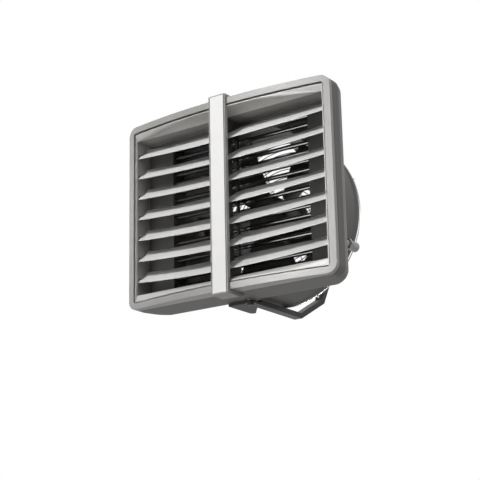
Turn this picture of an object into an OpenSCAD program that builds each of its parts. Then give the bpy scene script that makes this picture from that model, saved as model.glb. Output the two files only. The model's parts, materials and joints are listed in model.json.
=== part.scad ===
// Fan heater with a water coil, hung in a swivel yoke on a wall or a ceiling.
// The origin is the middle of the yoke's contact face. +Z is up and the front looks along -Y.
// Most pieces are drawn from the face plane, which holds the four front corners of the bezel.

/* [Housing] */
// Width of the housing
housing_w = 660; // [600:5:800]
// Height of the housing
housing_h = 530; // [520:5:640]
// Depth of the casing behind the face plane
housing_d = 119; // [112:1:140]
// How far the middle of the front stands before its corners
bow = 30; // [22:1:38]
// Wall thickness of the moulded shells
wall = 3; // [2.5:0.1:4]
// Width of the band round the front opening
band_w = 18; // [16:0.5:22]
// Gap between the band and the louvre frame
seal_gap = 4; // [3:0.5:5]
// Depth of the bezel behind the face plane
seam_y = 13; // [11:0.5:16]

/* [Centre bar] */
// Width of the bar down the middle of the front
bar_w = 53; // [44:1:60]
// How far the bar stands before the bezel
bar_proud = 8; // [6:0.5:10]
// How far the bar stands past the top and the bottom
bar_over = 10; // [6:0.5:12]
// Depth of the bar's side flanges
bar_flange = 13; // [11:0.5:14]

/* [Louvres] */
// Angle of the louvres from level, as set in the photo
louvre_tilt = 37.5; // [30:0.5:45]
// Thickness of a louvre
louvre_t = 2; // [1.6:0.1:2.4]
// Depth of the pivot line behind the face plane
louvre_y = 17.3; // [16:0.1:19]
// Distance from the pivot line back to the louvre's rear edge, measured level
louvre_back = 33; // [30:0.5:34]
// Height of the folded corner at the wall
winglet_h = 13.5; // [10:0.5:14]
// Diameter of the pivot pins
pin_d = 6; // [5:0.2:7]
// Height between the end louvres' pivots and the duct wall
louvre_end = 43.5; // [43.5:0.5:50]

/* [Coil] */
// Height between two coil tubes
tube_pitch = 25; // [24:0.5:32]
// Diameter of a coil tube
tube_d = 12; // [9:0.5:13]
// Half the width of the coil opening
coil_half_w = 222; // [200:1:230]
// Diameter of the two headers
header_d = 26; // [22:0.5:28]
// Diameter of the water stubs
stub_d = 27; // [20:0.5:30]
// Height of the water stubs
stub_z = -134; // [-160:1:-120]

/* [Fan] */
// Inside diameter of the fan shroud
shroud_d = 474; // [380:2:480]
// Depth of the shroud behind the face plane
shroud_y = 284; // [260:1:300]
// Height of the fan axis
fan_z = -10; // [-12:0.5:0]
// Number of fan blades
blade_count = 5; // [4:1:7]
// Gap between the blade tips and the shroud
tip_gap = 8; // [5:0.5:14]
// Distance between two rings of the guard
ring_pitch = 12; // [10:0.5:20]
// Diameter of the guard wire
wire_d = 3.2; // [2.4:0.1:4]

/* [Yoke] */
// Distance from the wall to the face plane
reach = 520; // [500:1:620]
// Width of the yoke tube
yoke_w = 25; // [20:1:40]
// Thickness of the yoke tube
yoke_t = 15; // [12:0.5:18]
// Wall thickness of the yoke tube
yoke_wall = 2; // [1.5:0.1:3]
// Depth of the swivel axis behind the face plane
pivot_y = 106; // [100:0.5:107]
// Diameter of the pivot bolts
pivot_d = 10; // [8:0.5:12]
// Distance between the two wall bolts
wall_bolt_pitch = 160; // [100:1:200]
// Diameter of the wall bolt holes
wall_bolt_d = 10.5; // [8:0.5:12]

/* [Hidden] */

$fn = 64;
fine = 360;
cut = 1;
half_w = housing_w / 2;
half_h = housing_h / 2;
bow_r = (half_w * half_w + bow * bow) / (2 * bow);
front_r = 27;
casing_r = 56;
rear_r = 75;
rear_edge_r = 14;
shoulder_in = 4;
groove = 1.2;
groove_len = 2;
shoulder_y = 44;
facet_y = 59;

// Pale strip of the centre bar
strip_t = 2.4;
lip_w = 2.5;
lip_gap = 1.4;

// Front opening, and the louvre frame that stands in it
open_w = housing_w - 2 * band_w;
open_h = housing_h - 2 * band_w;
open_r = 8;
frame_t = 2.5;
frame_back = 4;
duct_half_w = open_w / 2 - seal_gap - frame_t;
duct_half_front = open_h / 2 - seal_gap - frame_t;
duct_drop = 17;
duct_half_h = duct_half_front - duct_drop;
duct_bend_y = 6;
baffle_y = louvre_y + louvre_back / cos(louvre_tilt) + 3.1;
baffle_t = 1.5;
slack = 0.3;
seal_y = 3;
seal_end_y = 11;

// Louvre rows on each side of the centre post, counted from the top
louvre_count = 7;
louvre_pitch = 2 * (duct_half_h - louvre_end) / (louvre_count - 1);
function louvre_z(i) = duct_half_h - louvre_end - (i - 1) * louvre_pitch;
louvre_inset = 14;
louvre_end_gap = 1.5;
post_w = 5;
bush_wall = 2;
bush_gap = 0.2;
collar_t = 1.1;

// Coil, with one row of tubes between two headers
tube_y = baffle_y + baffle_t + 1 + header_d / 2;
tube_rows = 2 * floor((duct_half_h - tube_d) / tube_pitch) + 1;
header_x = 250;
end_plate_t = 2;
end_plate_x = coil_half_w + 2;

// Fan and guard
shroud_r = shroud_d / 2;
blade_r = shroud_r - tip_gap;
hub_r = 62;
hub_y = 196;
hub_len = 62;
blade_rest = 31;
shaft_r = 5;
shaft_start = 6;
motor_y = hub_y + hub_len + 3;
bearing_r = 12;
guard_y = shroud_y + 14;
guard_r = shroud_r + 1;
plate_r = 74;
plate_t = 4;
leg_d = 2.8;
touch = 0.05;
arm_count = 8;

// Terminal box on the rear wall
box_x = -half_w + 96;
box_z = -half_h + 66;
box_size = [70, 34, 52];

// Yoke path in side view: level arm, two slopes and the leg on the wall
slope_1 = 28;
slope_2 = 60;
slope_len_1 = 141;
slope_len_2 = 106;
foot_t = 7.5;
foot_gap = 1.5;
arm_start_y = pivot_y + 32;
arm_z = half_h + foot_gap + foot_t;
knee_1_y = reach - slope_len_2 * cos(slope_2) - slope_len_1 * cos(slope_1);
knee_2_y = reach - slope_len_2 * cos(slope_2);
knee_2_z = arm_z - slope_len_1 * sin(slope_1);
knee_3_z = knee_2_z - slope_len_2 * sin(slope_2);

// ---- shared shapes ----

module from_face() {
    translate([0, -reach, 0]) children();
}

module rounded_rect(w, h, r) {
    square([w, h - 2 * r], center = true);
    square([w - 2 * r, h], center = true);
    for (x = [-1, 1], y = [-1, 1])
        translate([x * (w / 2 - r), y * (h / 2 - r)]) circle(r);
}

// Front-view shape, drawn in X and Z, that runs from depth y0 to depth y1
module along_y(y0, y1) {
    translate([0, y1, 0]) rotate([90, 0, 0]) linear_extrude(y1 - y0) children();
}

// Side-view shape, drawn in Y and Z, that runs from x0 to x1
module along_x(x0, x1) {
    translate([x0, 0, 0]) rotate([90, 0, 90]) linear_extrude(x1 - x0) children();
}

// All that lies behind the bowed front, set back by some distance
module behind_bow(set_back) {
    translate([0, bow_r - bow, -housing_h]) cylinder(r = bow_r - set_back, h = 2 * housing_h, $fn = fine);
}

module mirror_z() {
    children();
    mirror([0, 0, 1]) children();
}

module screw_head(d, h) {
    difference() {
        cylinder(d = d, h = h, $fn = 32);
        translate([0, 0, h * 0.45]) cylinder(d = d * 0.5, h = h, $fn = 6);
    }
}

// ---- yoke ----

module yoke_outline(inset) {
    o = inset;
    t = yoke_t - inset;
    k1 = tan(slope_1 / 2);
    k2 = tan((slope_2 - slope_1) / 2);
    k3 = tan((90 - slope_2) / 2);
    n1 = [-sin(slope_1), cos(slope_1)];
    a = [knee_1_y, -arm_z];
    b = [knee_2_y, -knee_2_z];
    c = [reach, -knee_3_z];
    polygon([
        [arm_start_y, -arm_z + o], a + o * [-k1, 1], b + o * (n1 - k2 * [cos(slope_1), sin(slope_1)]),
        c + o * [-1, k3], [reach - o, 0], [reach - t, 0], c + t * [-1, k3],
        b + t * (n1 - k2 * [cos(slope_1), sin(slope_1)]), a + t * [-k1, 1], [arm_start_y, -arm_z + t]]);
}

module foot_plate() {
    lug_left = 66;
    lug_front = pivot_y - 9;
    lug_back = pivot_y + 101;
    lug_knee = pivot_y + 50;
    hub_r = 16;
    lug_r = 7;
    translate([0, 0, -arm_z]) linear_extrude(foot_t) {
        difference() {
            union() {
                translate([0, pivot_y]) circle(hub_r);
                translate([-yoke_w / 2, pivot_y]) square([yoke_w, arm_start_y + 30 - pivot_y]);
                polygon([[-lug_left, lug_front], [0, lug_front], [yoke_w / 2, pivot_y], [yoke_w / 2, lug_knee],
                    [-yoke_w / 2, lug_knee], [-lug_left + 2 * lug_r, lug_back], [-lug_left + lug_r, lug_back],
                    [-lug_left, lug_back - lug_r]]);
            }
            translate([0, pivot_y]) circle(d = pivot_d + 0.4);
        }
    }
}

module yoke() {
    sleeve_d = wall_bolt_d + 7;
    color("#3a3a38") from_face() {
        mirror_z() foot_plate();
        difference() {
            union() {
                difference() {
                    mirror_z() along_x(-yoke_w / 2, yoke_w / 2) yoke_outline(0);
                    mirror_z() along_x(-yoke_w / 2 + yoke_wall, yoke_w / 2 - yoke_wall) yoke_outline(yoke_wall);
                }
                for (z = [-1, 1])
                    translate([0, reach - yoke_t + 0.5, z * wall_bolt_pitch / 2])
                        rotate([-90, 0, 0]) cylinder(d = sleeve_d, h = yoke_t - 1);
            }
            for (z = [-1, 1])
                translate([0, reach - yoke_t - cut, z * wall_bolt_pitch / 2])
                    rotate([-90, 0, 0]) cylinder(d = wall_bolt_d, h = yoke_t + 2 * cut);
        }
    }
}

module pivot_bolts() {
    head_h = 5;
    head_d = 1.7 * pivot_d;
    socket_h = 3;
    shank_h = foot_t + foot_gap + 16;
    color("#2c2c2b") from_face() mirror_z() translate([0, pivot_y, -arm_z]) {
        difference() {
            translate([0, 0, -head_h]) cylinder(d = head_d, h = head_h);
            translate([0, 0, -head_h - cut]) cylinder(d = 0.8 * pivot_d, h = socket_h + cut, $fn = 6);
        }
        translate([0, 0, -0.1]) cylinder(d = pivot_d, h = shank_h);
    }
}

module pivot_washers() {
    washer_d = 26;
    color("#888888") from_face()
    mirror_z() translate([0, pivot_y, -half_h - foot_gap + 0.1]) difference() {
        cylinder(d = washer_d, h = foot_gap - 0.3);
        translate([0, 0, -cut]) cylinder(d = pivot_d + 0.6, h = foot_gap + 2 * cut);
    }
}

// ---- casing ----

module plan_outline(inset) {
    rear_half = half_w - shoulder_in;
    // The facet ends on the rear rounding
    facet_half = rear_half - rear_r + sqrt(pow(rear_r, 2) - pow(facet_y - housing_d + rear_r, 2));
    for (s = [-1, 1]) {
        translate([s * (rear_half - rear_r), housing_d - rear_r]) circle(rear_r - inset, $fn = 128);
    }
    translate([-rear_half + rear_r, seam_y]) square([2 * (rear_half - rear_r), housing_d - seam_y - inset]);
    polygon([[-half_w + inset, seam_y], [half_w - inset, seam_y], [half_w - inset, shoulder_y],
        [facet_half - inset, facet_y], [-facet_half + inset, facet_y], [-half_w + inset, shoulder_y]]);
}

module side_outline(inset) {
    r = rear_edge_r;
    translate([seam_y, -half_h + inset]) square([housing_d - r - seam_y, housing_h - 2 * inset]);
    translate([seam_y, -half_h + r]) square([housing_d - seam_y - inset, housing_h - 2 * r]);
    for (s = [-1, 1]) translate([housing_d - r, s * (half_h - r)]) circle(r - inset);
}

module casing_solid(inset) {
    intersection() {
        along_y(seam_y, housing_d) rounded_rect(housing_w - 2 * inset, housing_h - 2 * inset, casing_r - inset);
        translate([0, 0, -half_h]) linear_extrude(housing_h) plan_outline(inset);
        along_x(-half_w, half_w) side_outline(inset);
    }
}

module rear_shell() {
    boss_d = 24;
    boss_h = 22;
    stub_room = stub_d + 2 * slack + 1;
    color("#8b8986") from_face() difference() {
        union() {
            difference() {
                casing_solid(0);
                casing_solid(wall);
                along_y(seam_y - cut, seam_y + cut)
                    rounded_rect(housing_w - 2 * wall, housing_h - 2 * wall, casing_r - wall);
                // Groove behind the bezel
                difference() {
                    along_y(seam_y - cut, seam_y + groove_len)
                        rounded_rect(housing_w + 2, housing_h + 2, casing_r);
                    along_y(seam_y - 2 * cut, seam_y + groove_len + cut)
                        rounded_rect(housing_w - 2 * groove, housing_h - 2 * groove, casing_r - groove);
                }
            }
            // Bosses that hold the pivot inserts
            mirror_z() intersection() {
                translate([0, pivot_y, -half_h]) cylinder(d = boss_d, h = boss_h);
                casing_solid(0);
            }
        }
        // Hole for the fan
        translate([0, housing_d - wall - cut, fan_z]) rotate([-90, 0, 0])
            cylinder(r = shroud_r, h = wall + 2 * cut, $fn = 128);
        // Pocket for the foot plate's hub, and the insert's hole
        mirror_z() translate([0, pivot_y, -half_h - cut])
            cylinder(d = boss_d - 2 * wall, h = boss_h + cut + 0.1);
        for (s = [-1, 1]) translate([s * header_x, housing_d - wall - 12, stub_z])
            rotate([-90, 0, 0]) cylinder(d = stub_room, h = wall + 30);
    }
}

module pivot_inserts() {
    color("#777777") from_face() mirror_z() difference() {
        intersection() {
            translate([0, pivot_y, -half_h]) cylinder(d = 17.4, h = 21);
            casing_solid(0.4);
        }
        translate([0, pivot_y, -half_h - cut]) cylinder(d = pivot_d + 0.6, h = 22 + cut);
    }
}

module casing_screws() {
    color("#6f6f6f") from_face() for (x = [-1, 1], z = [-1, 1], inner = [0, 1])
        translate([x * (half_w - 92 - inner * 90), housing_d + 0.1, z * (half_h - 28)])
            rotate([-90, 0, 0]) screw_head(9, 3);
}

// ---- front ----

module front_bezel() {
    t = wall;
    color("#b9b7b4") from_face() difference() {
        intersection() {
            along_y(-bow - cut, seam_y) rounded_rect(housing_w, housing_h, front_r);
            behind_bow(0);
        }
        along_y(-bow - 2 * cut, seam_y + cut) rounded_rect(open_w, open_h, open_r);
        // Hollow back of the band
        intersection() {
            difference() {
                along_y(-bow, seam_y + cut) rounded_rect(housing_w - 2 * t, housing_h - 2 * t, front_r - t);
                along_y(-bow - cut, seam_y + 2 * cut) rounded_rect(open_w + 2 * t, open_h + 2 * t, open_r + t);
            }
            behind_bow(t + 2);
        }
    }
}

// Pale strip on the bar's front, with rounded long edges
module centre_bar() {
    front = bow + bar_proud;
    end_z = half_h + bar_over;
    edge_r = strip_t / 2;
    strip_w = bar_w - 2 * (lip_w + lip_gap);
    color("#ecebe9") from_face() translate([0, 0, -end_z]) linear_extrude(2 * end_z) {
        translate([-strip_w / 2, -front + edge_r]) square([strip_w, strip_t - edge_r]);
        translate([-strip_w / 2 + edge_r, -front]) square([strip_w - 2 * edge_r, strip_t]);
        for (s = [-1, 1]) translate([s * (strip_w / 2 - edge_r), -front + edge_r]) circle(edge_r);
    }
}

// Channel that holds the strip between two lips, with a keel that wraps each end of the housing
module bar_carrier() {
    back = -bow - bar_proud + strip_t;
    end_z = half_h + bar_over;
    lip_in = 0.8;
    keel_top = -half_h - slack;
    keel_y = 14;
    keel_end_y = 42;
    panel_clear = 6;
    t = 2.5;
    color("#7f7d7a") from_face() difference() {
        union() {
            translate([-bar_w / 2, back + touch, -end_z])
                cube([bar_w, bar_flange - strip_t, 2 * end_z]);
            for (x = [-bar_w / 2, bar_w / 2 - lip_w])
                translate([x, back - strip_t + lip_in, -end_z]) cube([lip_w, strip_t, 2 * end_z]);
            mirror_z() along_x(-bar_w / 2, bar_w / 2) polygon([
                [back + touch, -end_z], [back + touch, keel_top], [keel_end_y, keel_top],
                [keel_end_y, keel_top - 1], [keel_y, -end_z - 1.5]]);
        }
        // Hollow between the flanges, open at the back
        translate([-bar_w / 2 + t, back + t + 1.5, keel_top])
            cube([bar_w - 2 * t, bar_flange, -2 * keel_top]);
        // Room for the bezel's top and bottom bands and the front edges of the louvre frame
        mirror_z() translate([-bar_w, -bow - slack, keel_top])
            cube([2 * bar_w, bar_flange, band_w + seal_gap + frame_t + panel_clear]);
    }
}

module centre_post() {
    front_y = -10;
    rim = 10;
    pocket_h = 0.6 * louvre_pitch;
    color("#a9a7a4") from_face() difference() {
        translate([-post_w / 2, front_y, -duct_half_h + slack])
            cube([post_w, baffle_y - slack - front_y, 2 * (duct_half_h - slack)]);
        // Light pockets between the pivots
        for (i = [1 : louvre_count - 1])
            translate([-post_w, louvre_y + rim, louvre_z(i) - louvre_pitch / 2 - pocket_h / 2])
                cube([2 * post_w, baffle_y - louvre_y - 2 * rim, pocket_h]);
        for (i = [1 : louvre_count]) translate([-post_w, louvre_y, louvre_z(i)])
            rotate([0, 90, 0]) cylinder(d = pin_d + 2 * bush_gap, h = 2 * post_w, $fn = 32);
    }
}

// Slanted panel between the bowed front edge and the straight bend
module slanted_panel() {
    steps = 20;
    half = duct_half_w + frame_t;
    function arc_y(x) = bow_r - bow - sqrt(pow(bow_r - frame_back, 2) - x * x);
    hull() {
        translate([0, 0, duct_half_front]) linear_extrude(frame_t) polygon(concat(
            [for (i = [0 : steps]) let (x = -half + 2 * half * i / steps) [x, arc_y(x)]],
            [for (i = [0 : steps]) let (x = half - 2 * half * i / steps) [x, arc_y(x) + 0.5]]));
        translate([-half, duct_bend_y - 0.5, duct_half_h]) cube([2 * half, 0.5, frame_t]);
    }
}

module louvre_frame() {
    seat_d = pin_d + 2 * (bush_gap + bush_wall) + 0.1;
    color("#a9a7a4") from_face() difference() {
        union() {
            intersection() {
                mirror_z() slanted_panel();
                along_y(-bow, louvre_y) rounded_rect(open_w - 2 * slack, open_h - 2 * slack, open_r);
            }
            mirror_z() translate([-duct_half_w - frame_t, duct_bend_y - 0.5, duct_half_h])
                cube([2 * (duct_half_w + frame_t), baffle_y - duct_bend_y + 0.5 - slack, frame_t]);
            intersection() {
                for (s = [-1, 1])
                    translate([s * (duct_half_w + frame_t / 2) - frame_t / 2, -bow, -duct_half_front])
                        cube([frame_t, baffle_y + bow - slack, 2 * duct_half_front]);
                behind_bow(frame_back);
            }
        }
        for (i = [1 : louvre_count], s = [-1, 1])
            translate([s * (duct_half_w + frame_t / 2), louvre_y, louvre_z(i)])
                rotate([0, 90, 0]) cylinder(d = seat_d, h = 3 * frame_t, center = true, $fn = 32);
    }
}

// Dark strip that closes the gap between the bezel and the louvre frame
module frame_seal() {
    fit = 0.1;
    seal_w = seal_gap - 2 * fit;
    color("#1d1d1c") from_face() difference() {
        along_y(seal_y, seal_end_y) rounded_rect(open_w - 2 * fit, open_h - 2 * fit, open_r);
        along_y(seal_y - cut, seal_end_y + cut)
            square([open_w - 2 * (fit + seal_w), open_h - 2 * (fit + seal_w)], center = true);
    }
}

module louvre_bushes() {
    bush_d = pin_d + 2 * (bush_gap + bush_wall);
    color("#2b2b2b") from_face() for (i = [1 : louvre_count], s = [-1, 1])
        translate([s * duct_half_w, louvre_y, louvre_z(i)]) rotate([0, s * 90, 0]) difference() {
            union() {
                cylinder(d = bush_d, h = frame_t + slack, $fn = 32);
                translate([0, 0, -collar_t]) cylinder(d = bush_d + 3, h = collar_t - 0.1, $fn = 32);
                translate([0, 0, -0.2]) cylinder(d = bush_d, h = 0.4, $fn = 32);
            }
            translate([0, 0, -collar_t - cut]) cylinder(d = pin_d + 2 * bush_gap, h = frame_t + 4, $fn = 32);
        }
}

// ---- louvres ----

// Right-hand louvre about its pivot line: plate, folded corner and two pins
module louvre_blade() {
    inner = post_w / 2 + 1;
    outer = duct_half_w - louvre_end_gap;
    fold_x = coil_half_w;
    corner_r = 28;
    fold_y = louvre_back - 10.5;
    rise = tan(louvre_tilt);
    root_len = 14;
    far = 80;
    intersection() {
        rotate([louvre_tilt, 0, 0]) translate([inner, -far, -louvre_t / 2])
            cube([outer - inner, 2 * far, louvre_t]);
        translate([0, 0, -far]) linear_extrude(2 * far) {
            polygon([[inner, -far], [outer, -far], [outer, fold_y], [fold_x, louvre_back],
                [inner + corner_r, louvre_back], [inner, louvre_back - corner_r]]);
            translate([inner + corner_r, louvre_back - corner_r]) circle(corner_r);
        }
        translate([0, -louvre_y, 0]) behind_bow(louvre_inset);
    }
    // Folded corner
    hull() for (corner = [[fold_x, louvre_back - 1.5, (louvre_back - 1.5) * rise],
        [outer - 0.6, fold_y - 1.5, (fold_y - 1.5) * rise], [outer - 0.6, fold_y + 8, fold_y * rise + winglet_h]])
        translate(corner) rotate([louvre_tilt, 0, 0]) cube([0.6, 1, louvre_t - 0.4], center = true);
    // Pins with their roots on the plate
    translate([outer - root_len, 0, 0]) rotate([0, 90, 0])
        cylinder(d = pin_d, h = root_len + louvre_end_gap + frame_t, $fn = 32);
    translate([slack, 0, 0]) rotate([0, 90, 0]) cylinder(d = pin_d, h = inner + root_len, $fn = 32);
}

module louvre(i, side) {
    color("#d8d6d3") from_face() translate([0, louvre_y, louvre_z(i)])
        mirror([side < 0 ? 1 : 0, 0, 0]) louvre_blade();
}

// ---- coil ----

module coil_baffle() {
    opening_h = tube_rows * tube_pitch - 2;
    color("#302f2e") from_face() translate([0, baffle_y, 0]) difference() {
        translate([-duct_half_w - frame_t, 0, -duct_half_h - frame_t])
            cube([2 * (duct_half_w + frame_t), baffle_t, 2 * (duct_half_h + frame_t)]);
        translate([-coil_half_w, -cut, -opening_h / 2]) cube([2 * coil_half_w, baffle_t + 2 * cut, opening_h]);
    }
}

module tube_places() {
    for (i = [0 : tube_rows - 1]) translate([0, tube_y, (i - (tube_rows - 1) / 2) * tube_pitch])
        rotate([0, 90, 0]) children();
}

module coil_tubes() {
    color("#8d7f73") from_face() tube_places()
        cylinder(d = tube_d, h = 2 * (header_x - header_d / 2 + 0.5), center = true, $fn = 32);
}

module coil_end_plates() {
    h = tube_rows * tube_pitch - 2;
    color("#55524f") from_face() difference() {
        for (s = [-1, 1]) {
            translate([s * end_plate_x - end_plate_t / 2, baffle_y + baffle_t, -h / 2])
                cube([end_plate_t, housing_d - wall - baffle_y - baffle_t - slack, h]);
        }
        tube_places() cylinder(d = tube_d + 0.1, h = 3 * coil_half_w, center = true, $fn = 32);
    }
}

module header(side) {
    h = (tube_rows - 1) * tube_pitch + header_d + 4;
    header_wall = 2;
    color("#7b6252") from_face() translate([side * header_x, tube_y, 0]) {
        difference() {
            cylinder(d = header_d, h = h, center = true);
            cylinder(d = header_d - 2 * header_wall, h = h - 2 * header_wall, center = true);
            translate([-side * header_x, -tube_y, 0]) tube_places()
                cylinder(d = tube_d + 0.1, h = 2 * (header_x - header_d / 2 + 1), center = true, $fn = 32);
        }
    }
}

module supply_header() {
    header(1);
}

module return_header() {
    header(-1);
}

module water_stub(side) {
    stub_end = 238;
    nut_y = stub_end - 44;
    nut_h = 12;
    bore_d = stub_d - 9;
    start = tube_y + header_d / 2 + 0.1;
    color("#77736f") from_face()
    translate([side * header_x, 0, stub_z]) rotate([-90, 0, 0]) difference() {
        union() {
            translate([0, 0, start]) cylinder(d = stub_d - 5, h = stub_end - start);
            translate([0, 0, nut_y]) cylinder(d = stub_d + 5, h = nut_h, $fn = 6);
            translate([0, 0, nut_y + nut_h - 1]) cylinder(d = stub_d, h = stub_end - nut_y - nut_h + 1);
        }
        translate([0, 0, start + 4]) cylinder(d = bore_d, h = stub_end);
    }
}

module supply_stub() {
    water_stub(1);
}

module return_stub() {
    water_stub(-1);
}

module air_vent() {
    h = ((tube_rows - 1) * tube_pitch + header_d + 4) / 2;
    color("#8d7f73") from_face() translate([header_x, tube_y, h]) {
        cylinder(d = 10, h = 5, $fn = 6);
        translate([0, 0, 4.9]) cylinder(d = 6, h = 5, $fn = 32);
    }
}

// ---- fan ----

module on_axis(y) {
    from_face() translate([0, y, fan_z]) rotate([-90, 0, 0]) children();
}

module fan_shroud() {
    color("#4c4b49") on_axis(0) rotate_extrude($fn = 128) polygon([
        [shroud_r - 1, housing_d + slack], [shroud_r + 8, housing_d + slack], [shroud_r + 8, housing_d + 4],
        [shroud_r + 5, housing_d + 10], [shroud_r + 3, shroud_y - 14], [shroud_r + 6, shroud_y - 10],
        [shroud_r + 6, shroud_y], [shroud_r, shroud_y], [shroud_r, housing_d + 12], [shroud_r - 1, housing_d + 8]]);
}

module wire_guard() {
    rings = floor((guard_r - plate_r - 6) / ring_pitch);
    color("#c9c7c4") on_axis(0) {
        for (i = [0 : rings]) translate([0, 0, guard_y]) rotate_extrude($fn = 96)
            translate([guard_r - i * ring_pitch, 0]) circle(d = wire_d, $fn = 16);
        for (a = [0 : arm_count - 1]) rotate([0, 0, (a + 0.5) * 360 / arm_count]) {
            translate([plate_r - 6, 0, guard_y + wire_d + touch]) rotate([0, 90, 0])
                cylinder(d = wire_d, h = guard_r - plate_r + 11, $fn = 16);
            translate([guard_r + (wire_d + leg_d) / 2 + touch, 0, shroud_y + slack])
                cylinder(d = leg_d, h = guard_y + wire_d / 2 - shroud_y - slack, $fn = 16);
        }
        translate([0, 0, guard_y + wire_d / 2]) difference() {
            cylinder(r = plate_r, h = plate_t);
            translate([0, 0, -cut]) cylinder(r = 12, h = plate_t + 2 * cut);
        }
    }
}

module guard_screws() {
    color("#6f6f6f") on_axis(0) for (a = [0 : 3]) rotate([0, 0, 45 + a * 90])
        translate([plate_r - 22, 0, guard_y + wire_d / 2 + plate_t + 0.1]) screw_head(9, 3.2);
}

module motor_stator() {
    can_h = guard_y + wire_d / 2 - motor_y - 0.2;
    can_r = hub_r - 4;
    rib_w = 3;
    rib_count = 12;
    color("#2c2c2c") on_axis(motor_y) difference() {
        union() {
            cylinder(r = can_r, h = can_h);
            for (a = [0 : rib_count - 1]) rotate([0, 0, a * 360 / rib_count])
                translate([can_r - 2, -rib_w / 2, 0]) cube([4, rib_w, can_h - 3]);
        }
        translate([0, 0, -cut]) cylinder(r = bearing_r, h = 30);
    }
}

module motor_bearings() {
    bearing_h = 8;
    color("#9a9a9a") on_axis(motor_y) for (z = [2, 16]) translate([0, 0, z]) difference() {
        cylinder(r = bearing_r - 0.2, h = bearing_h);
        translate([0, 0, -cut]) cylinder(r = shaft_r + 0.2, h = bearing_h + 2 * cut);
    }
}

module motor_shaft() {
    color("#9a9a9a") on_axis(hub_y + shaft_start) cylinder(r = shaft_r, h = hub_len + 25);
}

module fan_hub() {
    color("#35352f") on_axis(hub_y) difference() {
        rotate_extrude($fn = 96) polygon([
            [0, 0], [hub_r - 12, 0], [hub_r - 3, 3], [hub_r, 10], [hub_r, hub_len],
            [hub_r - 4, hub_len], [hub_r - 4, 14], [18, 14], [14, hub_len - 8], [0, hub_len - 8]]);
        translate([0, 0, shaft_start - 0.1]) cylinder(r = shaft_r + touch, h = hub_len + 10);
    }
}

// Outline of a blade seen along the axis, swept back towards its tip
module blade_outline() {
    root_half = 32;
    tip_lead = 58;
    trail_r = 300;
    lead_r = 62;
    difference() {
        intersection() {
            polygon([[hub_r - 3, -root_half], [hub_r - 3, root_half], [blade_r + 5, tip_lead],
                [blade_r + 5, -trail_r], [hub_r, -trail_r]]);
            translate([268, 179]) circle(trail_r, $fn = fine);
        }
        translate([hub_r + 84, root_half + 80]) circle(lead_r, $fn = 96);
    }
}

// One blade is a rolled sheet at an angle to the axis, trimmed to its outline, the hub and the shroud
module fan_blade() {
    pitch = 32;
    camber_r = 220;
    blade_t = 3;
    reach_z = 60;
    intersection() {
        rotate([-pitch, 0, 0]) translate([0, 0, -camber_r]) rotate([0, 90, 0]) difference() {
            cylinder(r = camber_r + blade_t / 2, h = blade_r + 20, $fn = fine);
            translate([0, 0, -cut])
                cylinder(r = camber_r - blade_t / 2, h = blade_r + 20 + 2 * cut, $fn = fine);
        }
        translate([0, 0, -reach_z]) linear_extrude(2 * reach_z) blade_outline();
        difference() {
            translate([0, 0, -reach_z]) cylinder(r = blade_r, h = 2 * reach_z, $fn = 128);
            translate([0, 0, -reach_z - cut]) cylinder(r = hub_r + 0.1, h = 2 * (reach_z + cut), $fn = 96);
        }
    }
}

module fan_blades() {
    color("#3b3b39") on_axis(hub_y + hub_len / 2 + 2) for (i = [0 : blade_count - 1])
        rotate([0, 0, i * 360 / blade_count + blade_rest]) fan_blade();
}

// ---- electrics ----

module terminal_box() {
    t = 2;
    color("#3a3a3a") from_face() translate([box_x, housing_d + 0.1, box_z]) difference() {
        translate([-box_size[0] / 2, 0, -box_size[2] / 2]) cube(box_size);
        translate([-box_size[0] / 2 + t, t, -box_size[2] / 2 + t])
            cube([box_size[0] - 2 * t, box_size[1], box_size[2] - 2 * t]);
        translate([0, box_size[1] / 2, -box_size[2] / 2 - cut]) cylinder(d = 16.2, h = t + 2 * cut);
    }
}

module terminal_lid() {
    color("#444444") from_face() translate([box_x, housing_d + box_size[1] + 0.2, box_z])
        along_y(0, 3) rounded_rect(box_size[0], box_size[2], 3);
}

module lid_screws() {
    lid_y = housing_d + box_size[1] + 3.3;
    color("#8a8a8a") from_face() for (x = [-1, 1], z = [-1, 1])
        translate([box_x + x * (box_size[0] / 2 - 7), lid_y, box_z + z * (box_size[2] / 2 - 7)])
            rotate([-90, 0, 0]) screw_head(7, 2.2);
}

module cable_gland() {
    nut_h = 5;
    dome_h = 10;
    color("#222222") from_face()
    translate([box_x, housing_d + 0.1 + box_size[1] / 2, box_z - box_size[2] / 2]) difference() {
        union() {
            translate([0, 0, -nut_h]) cylinder(d = 22, h = nut_h - 0.1, $fn = 6);
            translate([0, 0, -nut_h]) cylinder(d = 16, h = nut_h + 6);
            translate([0, 0, -dome_h - nut_h]) cylinder(d1 = 15, d2 = 19, h = dome_h + 0.1);
        }
        translate([0, 0, -dome_h - nut_h - cut]) cylinder(d = 9, h = 24);
    }
}

yoke();
pivot_bolts();
pivot_washers();
pivot_inserts();
front_bezel();
centre_bar();
bar_carrier();
centre_post();
louvre_frame();
frame_seal();
louvre_bushes();
coil_baffle();
coil_end_plates();
coil_tubes();
supply_header();
return_header();
supply_stub();
return_stub();
air_vent();
rear_shell();
casing_screws();
fan_shroud();
wire_guard();
guard_screws();
motor_stator();
motor_shaft();
motor_bearings();
fan_hub();
fan_blades();
terminal_box();
terminal_lid();
cable_gland();
lid_screws();
for (i = [1 : louvre_count]) {
    louvre(i, -1);
    louvre(i, 1);
}
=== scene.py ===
# %% [markdown]
# # A fan heater with a water coil
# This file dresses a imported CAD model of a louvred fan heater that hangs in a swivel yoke.
# The CAD pieces carry the sizes and the motion. Here they get their finishes, the light and
# the camera, and the pieces that show their edges get finer meshes.

# %% Load the frame
import json
import math
import bmesh
import bpy
from mathutils import Matrix, Vector


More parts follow.
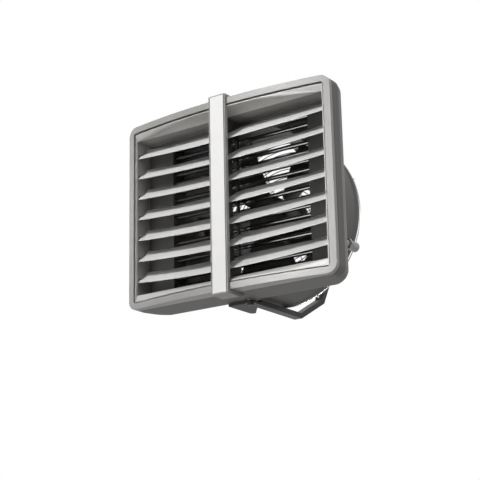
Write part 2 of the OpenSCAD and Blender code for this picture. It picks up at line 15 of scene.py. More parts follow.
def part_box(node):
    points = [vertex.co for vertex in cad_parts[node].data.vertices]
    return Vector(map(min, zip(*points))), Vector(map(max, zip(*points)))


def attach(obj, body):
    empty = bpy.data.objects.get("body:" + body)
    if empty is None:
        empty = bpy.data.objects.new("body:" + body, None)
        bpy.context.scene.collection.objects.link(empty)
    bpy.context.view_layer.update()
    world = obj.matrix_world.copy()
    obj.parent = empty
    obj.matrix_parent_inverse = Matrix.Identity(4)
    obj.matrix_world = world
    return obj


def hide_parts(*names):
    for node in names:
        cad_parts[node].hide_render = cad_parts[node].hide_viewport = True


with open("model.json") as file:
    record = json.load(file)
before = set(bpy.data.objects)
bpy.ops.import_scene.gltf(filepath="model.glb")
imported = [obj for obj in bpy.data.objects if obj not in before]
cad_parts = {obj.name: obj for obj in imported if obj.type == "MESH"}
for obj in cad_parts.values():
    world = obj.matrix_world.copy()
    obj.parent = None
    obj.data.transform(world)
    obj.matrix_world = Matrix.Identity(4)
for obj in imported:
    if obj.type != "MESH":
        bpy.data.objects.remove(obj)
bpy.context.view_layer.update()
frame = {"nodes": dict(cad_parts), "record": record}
nodes = frame["nodes"]
print("CAD pieces:", len(nodes))

# %% [markdown]
# ## The camera
# A product view is best set by the lens and the place it stands, because both decide how fast
# the front narrows towards its far side. Here the camera stands low, to the right of the front,
# and looks up a little. A long lens keeps the verticals calm.

# %% Camera
FACE_Y = -0.520                       # plane of the bezel's corners
CAMERA_PLACE = Vector((1.9128, -2.7376 + FACE_Y, -1.1083))
CAMERA_AZIMUTH = math.radians(34.349)
CAMERA_ELEVATION = math.radians(-16.438)
CAMERA_ROLL = math.radians(-1.209)
LENS_MM = 99.45
SENSOR_MM = 36.0
FARTHEST_SEEN = 50.0                  # metres


def way_towards(azimuth, elevation):
    return Vector((math.sin(azimuth) * math.cos(elevation),
                   -math.cos(azimuth) * math.cos(elevation),
                   math.sin(elevation)))


def add_camera():
    data = bpy.data.cameras.new("camera")
    data.sensor_width = SENSOR_MM
    data.lens = LENS_MM
    data.clip_end = FARTHEST_SEEN
    camera = bpy.data.objects.new("camera", data)
    bpy.context.scene.collection.objects.link(camera)
    back = way_towards(CAMERA_AZIMUTH, CAMERA_ELEVATION)
    right = Vector((0, 0, 1)).cross(back).normalized()
    up = back.cross(right)
    turn = Matrix((right, up, back)).transposed().to_4x4()
    roll = Matrix.Rotation(CAMERA_ROLL, 4, "Z")
    camera.matrix_world = Matrix.Translation(CAMERA_PLACE) @ turn @ roll
    bpy.context.scene.camera = camera


add_camera()
front_middle = Vector((0, FACE_Y, 0))
print("camera stands", round((CAMERA_PLACE - front_middle).length, 2), "m from the front")

# %% [markdown]
# ## The lamps
# A satin housing is lit with a few large discs. The key lamp stands high and a little to the left,
# so walls that face right stay in half shade. A weaker lamp far to the right opens up that side of
# the casing. Three lamps only show in the sheen. The right half of the bowed front mirrors the
# first and its far left end mirrors the second, which makes the bow easy to see. The third stands
# low, for the slanted panel under the top edge and for the thin lines on the round coil tubes. A
# wide lamp behind keeps the back readable. It has no gloss, so it draws no bright rim round the
# casing.

# %% Lamps
# Each lamp: azimuth and elevation in degrees, distance and size in metres, power in watts
LAMPS = {
    "key": (-16, 46, 4.0, 1.1, 118.0),
    "side": (76, 6, 4.0, 1.6, 30.0),
    "sheen": (-17, 16, 4.0, 1.4, 118.0),
    "rim": (-62, 16, 4.0, 0.8, 16.0),
    "low": (-18, -30, 2.3, 1.3, 80.0),
    "back": (200, 30, 4.0, 2.4, 130.0),
}
SHEEN_ONLY = ("sheen", "rim", "low")
MATT_ONLY = ("back",)


def add_lamp(name, azimuth, elevation, distance, size, power):
    data = bpy.data.lights.new(name, "AREA")
    data.shape = "DISK"
    data.size = size
    data.energy = power
    lamp = bpy.data.objects.new(name, data)
    way = way_towards(math.radians(azimuth), math.radians(elevation))
    lamp.location = front_middle + way * distance
    lamp.rotation_euler = way.to_track_quat("Z", "Y").to_euler()
    lamp.visible_diffuse = name not in SHEEN_ONLY
    lamp.visible_glossy = name not in MATT_ONLY
    bpy.context.scene.collection.objects.link(lamp)


for name, setting in LAMPS.items():
    add_lamp(name, *setting)
bpy.context.scene.view_settings.view_transform = "Standard"
print("lamps:", ", ".join(LAMPS))

# %% [markdown]
# ## The world
# The world gives the fill. It is weaker from below, so undersides stay darker than tops. One more
# lamp could do that, but the height of each direction, spread over a range, does it without another
# shadow. Rays from the camera, from gloss and through glass see plain white instead. That makes the
# backdrop white and lets metal mirror it, and no white light falls on the heater.

# %% World
FILL_ABOVE = 0.20
FILL_BELOW = 0.06
FILL_TURN = 0.6                       # the fill changes between this far down and this far up
FILL_COLOUR = (1.0, 0.99, 0.975, 1)
WHITE = (1, 1, 1, 1)


def math_node(tree, operation, *values):
    node = tree.nodes.new("ShaderNodeMath")
    node.operation = operation
    for socket, value in zip(node.inputs, values):
        if isinstance(value, float):
            socket.default_value = value
        else:
            tree.links.new(value, socket)
    return node.outputs[0]


def map_range(tree, value, low, high):
    node = tree.nodes.new("ShaderNodeMapRange")
    node.inputs["From Min"].default_value = low
    node.inputs["From Max"].default_value = high
    tree.links.new(value, node.inputs["Value"])
    return node


def seen_directly(tree):
    path = tree.nodes.new("ShaderNodeLightPath").outputs
    either = math_node(tree, "MAXIMUM", path["Is Camera Ray"], path["Is Transmission Ray"])
    return math_node(tree, "MAXIMUM", either, path["Is Glossy Ray"])


def add_world():
    world = bpy.data.worlds.new("studio")
    bpy.context.scene.world = world
    world.use_nodes = True
    tree = world.node_tree
    tree.nodes.clear()
    height = tree.nodes.new("ShaderNodeSeparateXYZ")
    tree.links.new(tree.nodes.new("ShaderNodeTexCoord").outputs["Generated"], height.inputs[0])
    strength = map_range(tree, height.outputs["Z"], -FILL_TURN, FILL_TURN)
    strength.inputs["To Min"].default_value = FILL_BELOW
    strength.inputs["To Max"].default_value = FILL_ABOVE
    fill = tree.nodes.new("ShaderNodeBackground")
    fill.inputs["Color"].default_value = FILL_COLOUR
    tree.links.new(strength.outputs["Result"], fill.inputs["Strength"])
    backdrop = tree.nodes.new("ShaderNodeBackground")
    backdrop.inputs["Color"].default_value = WHITE
    backdrop.inputs["Strength"].default_value = 1.0
    mix = tree.nodes.new("ShaderNodeMixShader")
    tree.links.new(seen_directly(tree), mix.inputs["Fac"])
    tree.links.new(fill.outputs[0], mix.inputs[1])
    tree.links.new(backdrop.outputs[0], mix.inputs[2])
    leave = tree.nodes.new("ShaderNodeOutputWorld")
    tree.links.new(mix.outputs[0], leave.inputs["Surface"])


add_world()
print("fill from", FILL_BELOW, "below to", FILL_ABOVE, "above")

# %% [markdown]
# ## The floor
# The heater hangs in the air, so the floor lies well below it and shows only from above. White
# paint would throw light up at the undersides. So the paint is grey, and a glow that only the
# camera, gloss and glass can see makes it look pale.

# %% Floor
FLOOR_Z = -1.6
FLOOR_HALF = 6.0
FLOOR_GREY = (0.30, 0.30, 0.30, 1)
FLOOR_ROUGHNESS = 0.9
FLOOR_GLOW = 0.42


def floor_paint():
    paint = bpy.data.materials.new("pale_floor")
    paint.use_nodes = True
    tree = paint.node_tree
    surface = tree.nodes["Principled BSDF"]
    surface.inputs["Base Color"].default_value = FLOOR_GREY
    surface.inputs["Roughness"].default_value = FLOOR_ROUGHNESS
    glow = tree.nodes.new("ShaderNodeEmission")
    glow.inputs["Strength"].default_value = FLOOR_GLOW
    lit = tree.nodes.new("ShaderNodeAddShader")
    tree.links.new(surface.outputs[0], lit.inputs[0])
    tree.links.new(glow.outputs[0], lit.inputs[1])
    mix = tree.nodes.new("ShaderNodeMixShader")
    tree.links.new(seen_directly(tree), mix.inputs["Fac"])
    tree.links.new(surface.outputs[0], mix.inputs[1])
    tree.links.new(lit.outputs[0], mix.inputs[2])
    tree.links.new(mix.outputs[0], tree.nodes["Material Output"].inputs["Surface"])
    return paint


def plain_object(name, shape):
    mesh = bpy.data.meshes.new(name)
    shape.to_mesh(mesh)
    shape.free()
    holder = bpy.data.objects.new(name, mesh)
    bpy.context.scene.collection.objects.link(holder)
    return holder


def add_floor():
    shape = bmesh.new()
    bmesh.ops.create_grid(shape, x_segments=1, y_segments=1, size=FLOOR_HALF,
                          matrix=Matrix.Translation((0, 0, FLOOR_Z)))
    floor = plain_object("floor", shape)
    floor.data.materials.append(floor_paint())


add_floor()
print("floor at", FLOOR_Z, "m")

# %% [markdown]
# ## Shared surface effects
# Moulded plastic, powder coat and drawn metal share two effects: a fine grain that breaks up the
# shine, and a slow mottling of tone from handling. They could be drawn anew in every material.
# Built once as node groups, they need only their values there, and a change reaches every finish
# at once.

# %% Node groups for grain and mottling
GRAIN_SCALE, GRAIN_DETAIL = 900.0, 3.0
MOTTLE_SCALE, MOTTLE_DETAIL = 7.0, 4.0
MOTTLE_LOW, MOTTLE_HIGH = 0.9, 1.06   # a group's own values, where a finish gives none
CLOUD_LOW, CLOUD_HIGH = 0.3, 0.7      # where nearly all of the noise lies


def new_group(name, inputs, output):
    tree = bpy.data.node_groups.new(name, "ShaderNodeTree")
    for label, value in inputs.items():
        socket = tree.interface.new_socket(label, in_out="INPUT", socket_type="NodeSocketFloat")
        socket.default_value = value
    tree.interface.new_socket(output, in_out="OUTPUT", socket_type="NodeSocketFloat")
    entry = tree.nodes.new("NodeGroupInput").outputs
    return tree, entry, tree.nodes.new("NodeGroupOutput").inputs[output]


def noise(tree, scale, detail):
    texture = tree.nodes.new("ShaderNodeTexNoise")
    texture.inputs["Detail"].default_value = detail
    place = tree.nodes.new("ShaderNodeTexCoord").outputs["Object"]
    tree.links.new(place, texture.inputs["Vector"])
    tree.links.new(scale, texture.inputs["Scale"])
    return texture.outputs["Fac"]


def make_grain_group():
    tree, entry, leave = new_group("moulded_grain", {"Scale": GRAIN_SCALE}, "Height")
    tree.links.new(noise(tree, entry["Scale"], GRAIN_DETAIL), leave)
    return tree


def make_mottle_group():
    inputs = {"Scale": MOTTLE_SCALE, "Low": MOTTLE_LOW, "High": MOTTLE_HIGH}
    tree, entry, leave = new_group("handling_mottle", inputs, "Tone")
    cloud = noise(tree, entry["Scale"], MOTTLE_DETAIL)
    spread = map_range(tree, cloud, CLOUD_LOW, CLOUD_HIGH)
    tree.links.new(entry["Low"], spread.inputs["To Min"])
    tree.links.new(entry["High"], spread.inputs["To Max"])
    tree.links.new(spread.outputs["Result"], leave)
    return tree


GRAIN = make_grain_group()
MOTTLE = make_mottle_group()
print("surface groups:", GRAIN.name, MOTTLE.name)

# %% [markdown]
# Years near a ceiling add two more effects: coats wear thin along the edges, and dust settles on
# what looks up. A wear mask is often taken from the curve of the surface, but that leaks into small
# details. Here the softened edges carry an attribute, and the mask reads only that. The dust mask
# reads how far the surface looks up.

# %% Node groups for edge rub and dust
RUB_LAYER = "edge_rub"
RUB_AMOUNT, RUB_SCALE, RUB_DETAIL = 0.5, 60.0, 4.0
RUB_BREAK_LOW, RUB_BREAK_HIGH = 0.38, 0.62
DUST_AMOUNT, DUST_SCALE, DUST_DETAIL = 0.3, 18.0, 5.0
SLOPE_BARE, SLOPE_DUSTY = 0.70, 0.98  # height part of the normal


def make_rub_group():
    inputs = {"Amount": RUB_AMOUNT, "Scale": RUB_SCALE}
    tree, entry, leave = new_group("edge_rub", inputs, "Mask")
    edge = tree.nodes.new("ShaderNodeAttribute")
    edge.attribute_name = RUB_LAYER
    cloud = noise(tree, entry["Scale"], RUB_DETAIL)
    broken = map_range(tree, cloud, RUB_BREAK_LOW, RUB_BREAK_HIGH)
    worn = math_node(tree, "MULTIPLY", edge.outputs["Fac"], broken.outputs["Result"])
    tree.links.new(math_node(tree, "MULTIPLY", worn, entry["Amount"]), leave)
    return tree


def make_dust_group():
    inputs = {"Amount": DUST_AMOUNT, "Scale": DUST_SCALE}
    tree, entry, leave = new_group("settled_dust", inputs, "Mask")
    split = tree.nodes.new("ShaderNodeSeparateXYZ")
    tree.links.new(tree.nodes.new("ShaderNodeNewGeometry").outputs["Normal"], split.inputs[0])
    level = map_range(tree, split.outputs["Z"], SLOPE_BARE, SLOPE_DUSTY)
    cloud = noise(tree, entry["Scale"], DUST_DETAIL)
    lies = math_node(tree, "MULTIPLY", level.outputs["Result"], cloud)
    tree.links.new(math_node(tree, "MULTIPLY", lies, entry["Amount"]), leave)
    return tree


RUB = make_rub_group()
DUST = make_dust_group()
print("wear groups:", RUB.name, DUST.name)

# %% [markdown]
# ## One recipe for coated, moulded and bare surfaces
# A finish is a base colour, a roughness, a metal share and the strength of its grain. The recipe
# joins the four groups to a Principled BSDF. Mottling changes tone and roughness, rub shows a
# lighter colour or the bare metal, and dust lies over both and is duller. Values that are the same
# all over are set on the shader's own sockets.

# %% Finish recipe
DUST_COLOUR = (0.36, 0.345, 0.32, 1)
DUST_ROUGHER = 0.4                    # roughness added where the dust is full
RUBBED_GAIN, RUBBED_LIFT = 1.35, 0.03
GRAIN_DEPTH = 0.0004                  # metres


def place_group(tree, group, **values):
    node = tree.nodes.new("ShaderNodeGroup")
    node.node_tree = group
    for label, value in values.items():
        node.inputs[label].default_value = value
    return node.outputs[0]


def blend_colour(tree, mask, under, over):
    mix = tree.nodes.new("ShaderNodeMix")
    mix.data_type = "RGBA"
    tree.links.new(mask, mix.inputs["Factor"])
    tree.links.new(under, mix.inputs["A"])
    mix.inputs["B"].default_value = over
    return mix.outputs["Result"]


def finish(name, colour, roughness, metallic=0.0, specular=0.5, grain=0.15, low=0.93, high=1.04,
           rub=0.35, bare=None, dust=0.35):
    material = bpy.data.materials.new(name)
    material.use_nodes = True
    tree = material.node_tree
    surface = tree.nodes["Principled BSDF"].inputs
    surface["Metallic"].default_value = metallic
    surface["Specular IOR Level"].default_value = specular
    tone = place_group(tree, MOTTLE, Low=low, High=high)
    shade = tree.nodes.new("ShaderNodeVectorMath")
    shade.operation = "SCALE"
    shade.inputs[0].default_value = colour
    tree.links.new(tone, shade.inputs["Scale"])
    worn = place_group(tree, RUB, Amount=rub)
    lighter = tuple(min(1.0, RUBBED_GAIN * part + RUBBED_LIFT) for part in colour)
    coloured = blend_colour(tree, worn, shade.outputs["Vector"], (*(bare or lighter), 1))
    dusty = place_group(tree, DUST, Amount=dust)
    tree.links.new(blend_colour(tree, dusty, coloured, DUST_COLOUR), surface["Base Color"])
    rougher = math_node(tree, "MULTIPLY", dusty, DUST_ROUGHER)
    dull = math_node(tree, "MULTIPLY_ADD", tone, roughness, rougher)
    tree.links.new(dull, surface["Roughness"])
    bump = tree.nodes.new("ShaderNodeBump")
    bump.inputs["Strength"].default_value = grain
    bump.inputs["Distance"].default_value = GRAIN_DEPTH
    tree.links.new(place_group(tree, GRAIN), bump.inputs["Height"])
    tree.links.new(bump.outputs["Normal"], surface["Normal"])
    return material


print("roughness under full dust rises by", DUST_ROUGHER)

# %% [markdown]
# ## The finishes
# The housing is satin plastic in a few greys, the louvres are pale coated sheet, and the coil is
# copper gone nearly black. The casing's grey is set well below the bezel's, as painted shade for
# its sides and underside. The guard is bright plated wire, and the yoke is dark coated steel with
# bare metal at its rubbed edges. One table of values keeps them side by side, so their tones can be
# tuned against each other.

# %% Finishes
RECIPES = {
    "grey_plastic": dict(colour=(0.345, 0.338, 0.328), roughness=0.35),
    "frame_plastic": dict(colour=(0.600, 0.588, 0.570), roughness=0.36),
    # a darker grey for the duct behind the bend: painted shade for the deep recess
    "duct_painted_shade": dict(colour=(0.300, 0.292, 0.280), roughness=0.55, low=0.85),
    "carrier_plastic": dict(colour=(0.340, 0.333, 0.323), roughness=0.45, specular=0.4),
    # the casing's grey sits well below the bezel's: painted shade for its sides and underside
    "shell_plastic": dict(colour=(0.170, 0.165, 0.159), roughness=0.5, specular=0.25),
    "shroud_plastic": dict(colour=(0.112, 0.109, 0.104), roughness=0.5),
    "blade_plastic": dict(colour=(0.05, 0.05, 0.048), roughness=0.42),
    "black_plastic": dict(colour=(0.03, 0.03, 0.03), roughness=0.5),
    "motor_black": dict(colour=(0.03, 0.03, 0.03), roughness=0.5, grain=0.3),
    "white_bar": dict(colour=(0.90, 0.895, 0.885), roughness=0.42, grain=0.03, low=0.98,
                      high=1.0, rub=0.0),
    "louvre_metal": dict(colour=(0.76, 0.755, 0.745), roughness=0.5, grain=0.06, low=0.95,
                         high=1.02, rub=0.15),
    "dark_sheet": dict(colour=(0.080, 0.077, 0.074), roughness=0.6, low=0.8, dust=0.15),
    "dark_steel": dict(colour=(0.030, 0.029, 0.028), roughness=0.45, specular=0.2, grain=0.25,
                       rub=0.5, bare=(0.16, 0.155, 0.15)),
    "black_bolt": dict(colour=(0.03, 0.03, 0.03), roughness=0.4, metallic=0.5, rub=0.6,
                       bare=(0.2, 0.2, 0.2)),
    "tube_copper": dict(colour=(0.030, 0.028, 0.026), roughness=0.16, specular=0.7, grain=0.02,
                        dust=0.1),
    "stub_metal": dict(colour=(0.30, 0.29, 0.28), roughness=0.4, metallic=0.6, rub=0.6),
    "guard_wire": dict(colour=(0.95, 0.945, 0.94), roughness=0.2, metallic=0.7, grain=0.0,
                       low=0.98, dust=0.0),
    "zinc": dict(colour=(0.55, 0.55, 0.54), roughness=0.35, metallic=1.0, grain=0.05, low=0.85,
                 dust=0.2),
    "ground_steel": dict(colour=(0.60, 0.60, 0.60), roughness=0.25, metallic=1.0, grain=0.02,
                         dust=0.1),
}
FINISHES = {name: finish(name, **recipe) for name, recipe in RECIPES.items()}
print("finishes:", len(FINISHES))

# %% [markdown]
# ## Dress the CAD pieces
# The record names a material slot for every piece, such as the zinc of the screws. The finishes
# bear the slots' names, so a loop can dress them all. The CAD meshes stay as they are.

# %% Put each finish on its CAD pieces
slot_of = {part["node"]: part["material_slot"] for part in frame["record"]["subparts"]}
for name, piece in nodes.items():
    piece.data.materials.clear()
    piece.data.materials.append(FINISHES[slot_of[name]])
print("dressed", len(slot_of), "CAD pieces")

# %% [markdown]
# ## Soft edges
# No moulded, folded or welded piece has a knife edge, and the thin bright line along a soft edge
# is what tells the eye where a surface turns. The CAD solids are exact and sharp. A copy of a
# solid is merged into one skin, its flat faces are joined, and every edge that turns by more than
# 30 degrees is bevelled. The copy takes the place of its CAD piece and rides on the same body.

# %% Helpers: a softened copy of a CAD piece
SHARP = math.radians(30)
FLAT = math.radians(0.3)
SAME_POINT = 0.00001                  # metres
NO_AREA = 0.000002                    # metres: a face thinner than this has no area
EDGE_SEGMENTS = 3
bodies = frame["record"]["behaviour"]["bodies"]
body_of = {node: body for body, names in bodies.items() for node in names}


def turns(edge):
    return len(edge.link_faces) == 2 and edge.calc_face_angle(0.0) > SHARP


def merged_copy(node):
    shape = bmesh.new()
    shape.from_mesh(nodes[node].data)
    bmesh.ops.remove_doubles(shape, verts=shape.verts, dist=SAME_POINT)
    bmesh.ops.dissolve_limit(shape, angle_limit=FLAT, verts=shape.verts, edges=shape.edges)
    return shape


def is_doubled(face):
    return len({other for edge in face.edges for other in edge.link_faces}) == 2


def soften_edges(shape, width, segments):
    rubbed = shape.faces.layers.float.new(RUB_LAYER)
    made = bmesh.ops.bevel(shape, geom=[edge for edge in shape.edges if turns(edge)],
                           offset=width, segments=segments, profile=0.5, affect="EDGES",
                           clamp_overlap=True, material=-1)
    for face in made["faces"]:
        face[rubbed] = 1.0
    # Where two bevels meet, a face can be left with no area, or with a twin on its back
    bmesh.ops.dissolve_degenerate(shape, dist=NO_AREA, edges=shape.edges)
    doubled = [face for face in shape.faces if is_doubled(face)]
    bmesh.ops.delete(shape, geom=doubled, context="FACES")


def stand_in(name, shape, node):
    mesh = bpy.data.meshes.new(name)
    for face in shape.faces:
        face.smooth = True
    for edge in shape.edges:
        edge.smooth = not turns(edge)
    shape.to_mesh(mesh)
    shape.free()
    mesh.materials.append(FINISHES[slot_of[node]])
    piece = bpy.data.objects.new(name, mesh)
    bpy.context.scene.collection.objects.link(piece)
    fair = piece.modifiers.new("fair_normals", "WEIGHTED_NORMAL")
    fair.keep_sharp = True
    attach(piece, body_of[node])
    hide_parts(node)
    return piece


def soften(node, width, segments=EDGE_SEGMENTS):
    shape = merged_copy(node)
    soften_edges(shape, width, segments)
    return stand_in(f"soft_{node}", shape, node)


print("bodies:", len(bodies))

# %% [markdown]
# The moulded bezel is the piece that hands touch, and it gets wide, even edges. Folded sheet and
# turned metal keep much narrower ones. A width of half the sheet's thickness would meet itself, so
# each piece has its own.

# %% Soften the pieces that show their edges
EDGE_WIDTHS = {
    "front_bezel": 0.0022, "bar_carrier": 0.0008, "yoke": 0.0012, "fan_shroud": 0.0010,
    "supply_stub": 0.0007, "return_stub": 0.0007, "terminal_box": 0.0010,
    "terminal_lid": 0.0006, "pivot_bolts": 0.0006, "centre_post": 0.0006,
    "supply_header": 0.0006, "return_header": 0.0006, "motor_stator": 0.0008,
    "fan_hub": 0.0010, "cable_gland": 0.0005, "coil_baffle": 0.0005, "fan_blades": 0.0005,
}
for node, width in EDGE_WIDTHS.items():
    piece = soften(node, width)
    print(piece.name, len(piece.data.polygons), "faces")

# %% [markdown]
# ## The casing
# The casing is a moulded tray that carries on the bezel's corners without a step, bends in at two
# creases and rolls round to a flat back. It could be cut from a block with booleans, but the light
# would break on their thin faces. A skin like that is lofted: a ring of points runs round the seam,
# is extruded backwards step by step, and each new ring is set to its own width, height and corner
# radius. First come the sizes at each depth.

# %% The casing's outline at each depth
SHELL_LOW, SHELL_HIGH = (Vector(corner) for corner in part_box("rear_shell"))
SEAM_DEPTH = SHELL_LOW.y - FACE_Y
CASING_DEPTH = SHELL_HIGH.y - FACE_Y
CORNER_R = 0.027
SHOULDER_IN = 0.004                   # the sides roll in from this far inside the seam
SIDE_ROUND = 0.075
BACK_ROUND = 0.014
CREASES = (0.044, 0.059)              # depths
RING_POINTS = 72


def rolled_width(depth):
    side_middle = SHELL_HIGH.x - SHOULDER_IN - SIDE_ROUND
    past_middle = depth - CASING_DEPTH + SIDE_ROUND
    return side_middle + math.sqrt(max(0.0, SIDE_ROUND ** 2 - past_middle ** 2))


def casing_size(depth):
    first, second = CREASES
    if depth <= first:
        width = SHELL_HIGH.x
    elif depth <= second:
        share = (depth - first) / (second - first)
        width = SHELL_HIGH.x + share * (rolled_width(second) - SHELL_HIGH.x)
    else:
        width = rolled_width(depth)
    into_back = max(0.0, depth - CASING_DEPTH + BACK_ROUND)
    lost = BACK_ROUND - math.sqrt(max(0.0, BACK_ROUND ** 2 - into_back ** 2))
    return width, SHELL_HIGH.z - lost, CORNER_R - lost


def ring_place(index, depth, inset):
    width, height, radius = casing_size(depth)
    per_corner = RING_POINTS // 4
    corner, step = divmod(index, per_corner)
    angle = math.radians(90 * corner + 90 * step / (per_corner - 1))
    side = (1, -1, -1, 1)[corner]
    level = (1, 1, -1, -1)[corner]
    return Vector((side * (width - radius) + (radius - inset) * math.cos(angle),
                   FACE_Y + depth,
                   level * (height - radius) + (radius - inset) * math.sin(angle)))


widths = [round(2 * casing_size(depth)[0], 3) for depth in (SEAM_DEPTH, CASING_DEPTH)]
print("casing width at the seam and the back:", widths)

# %% [markdown]
# Where the casing meets the bezel, a shallow groove makes the dark line of the seam. After it the
# rings lie close together only at the creases and round the back edge, because the stretches
# between them are nearly straight.

# %% The rings of the casing
GROOVE_DEPTH, GROOVE_LENGTH = 0.0012, 0.002
GROOVE_CHAMFER = 0.0004
CREASE_EASE = 0.0006                  # a crease is spread this far to each side
SIDE_STEPS = 7
BACK_STEPS = 6


def casing_rings():
    groove_end = SEAM_DEPTH + GROOVE_LENGTH
    grooved = [(SEAM_DEPTH, GROOVE_DEPTH), (groove_end, GROOVE_DEPTH),
               (groove_end, GROOVE_CHAMFER), (groove_end + GROOVE_CHAMFER, 0.0)]
    depths = [crease + ease for crease in CREASES for ease in (-CREASE_EASE, CREASE_EASE)]
    start, end = CREASES[1] + CREASE_EASE, CASING_DEPTH - BACK_ROUND
    depths += [start + (end - start) * step / SIDE_STEPS for step in range(1, SIDE_STEPS + 1)]
    turned = [math.radians(90 * step / BACK_STEPS) for step in range(1, BACK_STEPS + 1)]
    depths += [end + BACK_ROUND * math.sin(angle) for angle in turned]
    return grooved + [(depth, 0.0) for depth in depths]


print("casing rings:", len(casing_rings()))

# %% [markdown]
# Each ring is extruded from the last one and its points are then set. The last ring is bridged to
# the round fan opening, so no boolean touches the skin's flow. The normals are turned outwards at
# the end, because the wall is later laid on their inner side.

# %% Loft the casing from ring to ring
WALL = 0.003
FAN_OPENING_R = 0.2372
FAN_AXIS_Z = -0.010
FACING_BACK = Matrix.Rotation(math.radians(90), 4, "X")


def open_edges(shape, ring):
    members = set(ring)
    return [edge for edge in shape.edges
            if len(edge.link_faces) < 2 and members.issuperset(edge.verts)]


def grow(shape, ring):
    made = bmesh.ops.extrude_edge_only(shape, edges=open_edges(shape, ring))
    return [item for item in made["geom"] if isinstance(item, bmesh.types.BMVert)]


def next_ring(shape, ring, places):
    fresh = grow(shape, ring)
    ordered = [min(fresh, key=lambda vert: (vert.co - old.co).length_squared) for old in ring]
    for vert, place in zip(ordered, places):
        vert.co = place
    return ordered


def new_circle(shape, points, radius, matrix):
    return bmesh.ops.create_circle(shape, cap_ends=False, segments=points, radius=radius,
                                   matrix=matrix)["verts"]


def casing_skin():
    shape = bmesh.new()
    rings = casing_rings()
    ring = new_circle(shape, RING_POINTS, 1.0, Matrix())
    for index, vert in enumerate(ring):
        vert.co = ring_place(index, *rings[0])
    for setting in rings[1:]:
        places = [ring_place(index, *setting) for index in range(RING_POINTS)]
        ring = next_ring(shape, ring, places)
    opening_place = Matrix.Translation((0, SHELL_HIGH.y, FAN_AXIS_Z)) @ FACING_BACK
    opening = new_circle(shape, RING_POINTS, FAN_OPENING_R, opening_place)
    bmesh.ops.bridge_loops(shape, edges=open_edges(shape, ring) + open_edges(shape, opening))
    bmesh.ops.recalc_face_normals(shape, faces=shape.faces)
    return shape


skin = casing_skin()
print("casing skin:", len(skin.faces), "faces")

# %% [markdown]
# The two bosses that hold the threaded pivot inserts are short tubes inside the top and the
# bottom. They are a skin of their own and join the casing only when its holes are cut, because the
# boolean can lose a closed body that touches nothing it cuts.

# %% Loft the two bosses
PIVOT_Y = FACE_Y + 0.106              # the swivel's axis, as in the CAD
BOSS_R = 0.0122
BOSS_LENGTH = 0.0185
BOSS_POINTS = 32
BOSS_CLEAR = 0.0002                   # keeps the boss off the wall's inner face


def boss_skin():
    shape = bmesh.new()
    for level in (-1, 1):
        top = level * (SHELL_HIGH.z - WALL - BOSS_CLEAR)
        tube = new_circle(shape, BOSS_POINTS, BOSS_R, Matrix.Translation((0, PIVOT_Y, top)))
        bmesh.ops.translate(shape, vec=(0, 0, -level * BOSS_LENGTH), verts=grow(shape, tube))
    bmesh.ops.recalc_face_normals(shape, faces=shape.faces)
    return shape


bosses = boss_skin()
print("boss skin:", len(bosses.faces), "faces")

# %% [markdown]
# Solidify gives each skin its wall, inwards, so the outside keeps its size. The holes for the
# pivots and for the two water stubs go through the finished wall, so a boolean cuts them after it.
# The result is kept as a plain mesh, and the helpers are dropped.

# %% Give the casing its wall and its holes
PIVOT_HOLE_R = 0.009
PIVOT_CUT = 2.4 * WALL
STUB_HOLE_R = 0.0143
STUB_CUT = 0.03
STUB_X, STUB_Z = 0.250, -0.134
HOLE_POINTS = 48


def add_cutter(shape, radius, depth, matrix):
    bmesh.ops.create_cone(shape, cap_ends=True, segments=HOLE_POINTS, radius1=radius,
                          radius2=radius, depth=depth, matrix=matrix)


def hole_cutters():
    shape = bmesh.new()
    for level in (-1, 1):
        pivot_place = Matrix.Translation((0, PIVOT_Y, level * SHELL_HIGH.z))
        add_cutter(shape, PIVOT_HOLE_R, PIVOT_CUT, pivot_place)
    for side in (-1, 1):
        stub_place = Matrix.Translation((side * STUB_X, SHELL_HIGH.y, STUB_Z)) @ FACING_BACK
        add_cutter(shape, STUB_HOLE_R, STUB_CUT, stub_place)
    return plain_object("hole_cutters", shape)


def walled(name, shape):
    blank = plain_object(name, shape)
    wall = blank.modifiers.new("wall", "SOLIDIFY")
    wall.thickness = WALL
    wall.offset = -1.0
    wall.use_even_offset = True
    return blank


def cut_holes(blank, cutters):
    holes = blank.modifiers.new("holes", "BOOLEAN")
    holes.operation = "DIFFERENCE"
    holes.solver = "EXACT"
    holes.object = cutters


def walled_casing():
    shell = walled("casing_blank", skin)
    tubes = walled("boss_blank", bosses)
    cutters = hole_cutters()
    cut_holes(shell, cutters)
    graph = bpy.context.evaluated_depsgraph_get()
    shape = bmesh.new()
    for blank in (shell, tubes):
        shape.from_mesh(bpy.data.meshes.new_from_object(blank.evaluated_get(graph)))
    for helper in (shell, tubes, cutters):
        bpy.data.objects.remove(helper)
    return shape


# the casing wears the shell's darker grey, which paints in the shade on its sides and underside
casing = stand_in("casing", walled_casing(), "rear_shell")
print("casing:", len(casing.data.polygons), "faces")

# %% [markdown]
# ## The louvres
# Each louvre is one folded sheet with its outer corner turned up, and its long edges are cut by
# guillotine and deburred. Fourteen copies share one bevel width, and each rides on its own tilting
# body, so a loop over the pieces is enough.

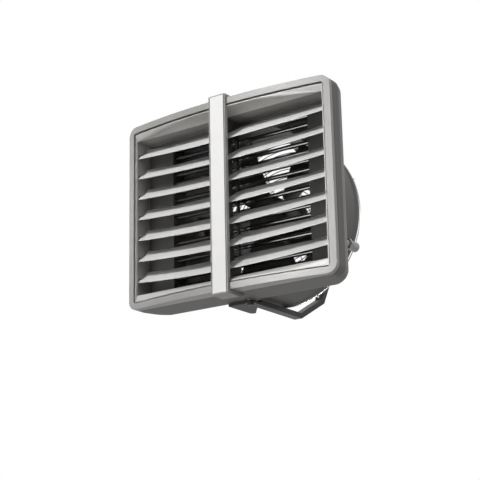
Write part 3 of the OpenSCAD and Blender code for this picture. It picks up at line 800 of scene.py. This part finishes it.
# %% Soften the louvres
LOUVRE_EDGE = 0.0006
LOUVRE_SEGMENTS = 2
tilting = [node for node in sorted(nodes)
           if node.startswith("louvre_") and body_of[node] != body_of["louvre_frame"]]
for node in tilting:
    soften(node, LOUVRE_EDGE, LOUVRE_SEGMENTS)
print("louvres:", len(tilting))

# %% [markdown]
# ## Two finishes on one piece
# The panel that slants in from the bezel has the housing's satin coat. Behind its bend begins the
# duct, coloured a darker, rougher grey: painted shade for the deep recess. The pale strip of the
# centre bar is one profile too, and a narrow band round the rim of its face takes the carrier's
# grey, a thin darker outline round the strip. Both are cut along planes, which adds a clean line of
# edges without parting the piece, and the faces past the cut take a second material.

# %% Cut a piece along planes and give it a second finish
BEND_Y = FACE_Y + 0.0062
FRAME_EDGE = 0.0006
BAR_EDGE = 0.0005
BAR_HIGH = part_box("centre_bar")[1]
# a band this wide round the rim of the bar's face takes the carrier's grey, a thin darker outline
OUTLINE_AT_SIDE, OUTLINE_AT_END = 0.0013, 0.0034
OUTLINE_X, OUTLINE_Z = BAR_HIGH.x - OUTLINE_AT_SIDE, BAR_HIGH.z - OUTLINE_AT_END
AXES = {"x": Vector((1, 0, 0)), "y": Vector((0, 1, 0)), "z": Vector((0, 0, 1))}


def two_toned(node, width, cuts, second, is_past):
    shape = merged_copy(node)
    for axis, at in cuts:
        everything = shape.verts[:] + shape.edges[:] + shape.faces[:]
        bmesh.ops.bisect_plane(shape, geom=everything, dist=SAME_POINT,
                               plane_co=AXES[axis] * at, plane_no=AXES[axis])
    soften_edges(shape, width, EDGE_SEGMENTS)
    past = [is_past(face.calc_center_median()) for face in shape.faces]
    for face, is_second in zip(shape.faces, past):
        face.material_index = int(is_second)
    piece = stand_in(f"soft_{node}", shape, node)
    piece.data.materials.append(FINISHES[second])
    print(piece.name, past.count(False), "faces and", past.count(True), "in", second)


# the faces behind the bend take the darker grey, painted shade for the deep duct
two_toned("louvre_frame", FRAME_EDGE, [("y", BEND_Y)], "duct_painted_shade",
          lambda middle: middle.y > BEND_Y)
# faces in the band round the bar's rim take the carrier's grey, drawing a thin darker outline
two_toned("centre_bar", BAR_EDGE, [("z", OUTLINE_Z), ("z", -OUTLINE_Z), ("x", OUTLINE_X), ("x", -OUTLINE_X)],
          "carrier_plastic", lambda middle: abs(middle.z) > OUTLINE_Z or abs(middle.x) > OUTLINE_X)
